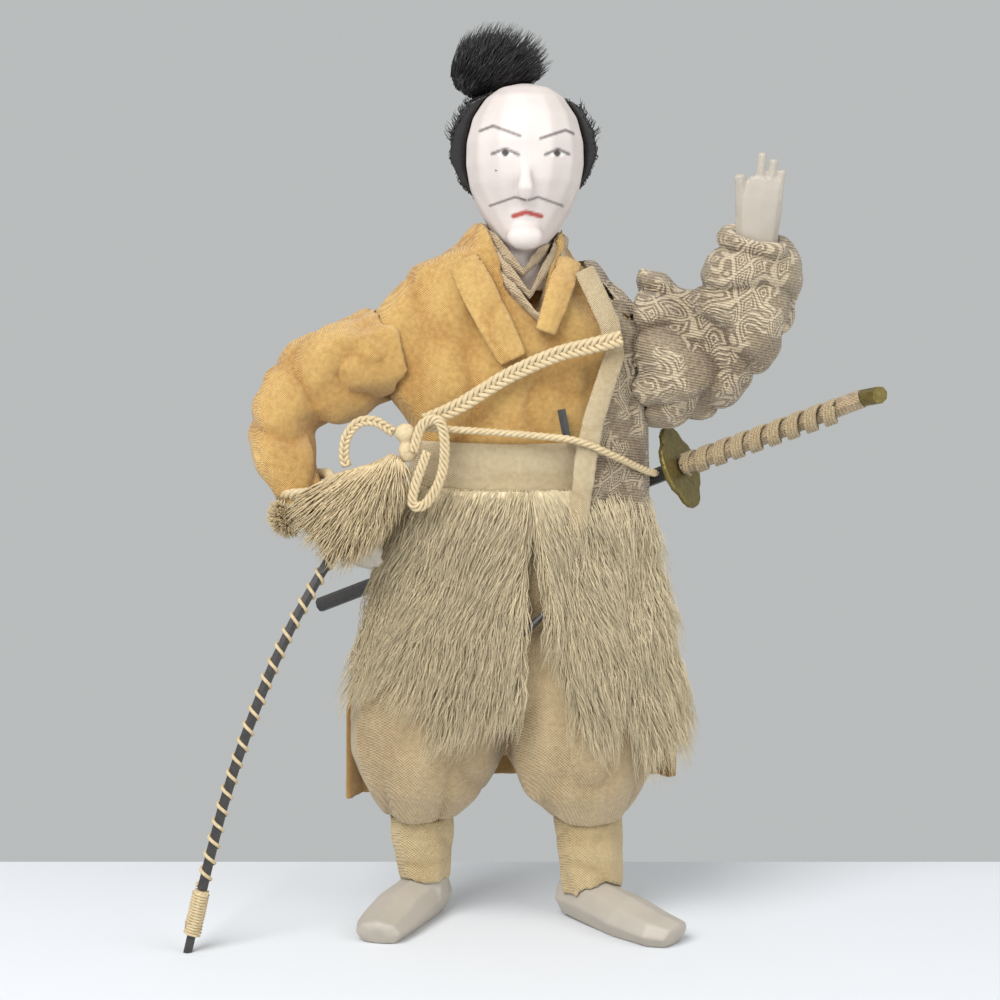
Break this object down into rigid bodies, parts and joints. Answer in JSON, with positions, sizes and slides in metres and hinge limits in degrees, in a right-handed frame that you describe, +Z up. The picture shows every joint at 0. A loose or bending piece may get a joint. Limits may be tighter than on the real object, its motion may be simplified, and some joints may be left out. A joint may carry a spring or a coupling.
{
  "type": "samurai doll",
  "caption": "Standing costumed doll of a warrior with a lacquered head, silk robe, brocade jacket, fur skirt, sword and riding whip.",
  "frame": {"origin": "on the ground, in the middle of the doll's outline seen from above", "axes": "+Z up, the doll faces -Y, +X towards the doll's left, which is the side of its raised hand"},
  "size_m": [0.1782, 0.0878, 0.23],
  "materials": {
    "lacquer": "matte shell-white lacquer over wood",
    "hair": "glossy black hair",
    "goldSilk": "plain-woven gold silk",
    "creamSilk": "cream silk",
    "underCollar": "ribbed cream silk",
    "brocade": "brown and cream ribbed brocade",
    "trouserCloth": "coarse beige plain weave",
    "lining": "ochre cloth",
    "gaiterCloth": "pale yellow cloth",
    "fur": "combed fur",
    "cord": "braided cream silk cord",
    "brass": "dull olive brass",
    "blackLacquer": "worn black lacquer"
  },
  "bodies": {
    "root": {"scabbard": "blackLacquer", "sword_guard": "brass", "sword_handle": "creamSilk", "pommel_cap": "brass", "whip_rod": "blackLacquer", "whip_lashing": "cord", "whip_tip": "blackLacquer", "right_foot": "lacquer", "left_foot": "lacquer", "head": "lacquer", "side_hair": "hair", "topknot": "hair", "raised_hand": "lacquer", "whip_hand": "lacquer", "under_collar_1": "underCollar", "under_collar_2": "underCollar", "under_collar_3": "underCollar", "kimono_body": "goldSilk", "trousers": "trouserCloth", "right_gaiter": "gaiterCloth", "left_gaiter": "gaiterCloth", "waistband": "creamSilk", "trouser_back_panel": "lining", "kimono_sleeve": "goldSilk", "kimono_collar_right": "goldSilk", "kimono_collar_left": "goldSilk", "fur_panel_right": "fur", "fur_panel_left": "fur", "jacket_body": "brocade", "jacket_sleeve": "brocade", "jacket_lapel": "creamSilk", "belt_stick": "blackLacquer", "skirt_stick": "blackLacquer", "knot": "cord", "waist_cord": "cord", "chest_braid": "cord", "bow_loop_left": "cord", "bow_loop_right": "cord", "wrist_cord": "cord", "wrist_tuft": "cord", "tassel": "cord"}
  },
  "joints": []
}
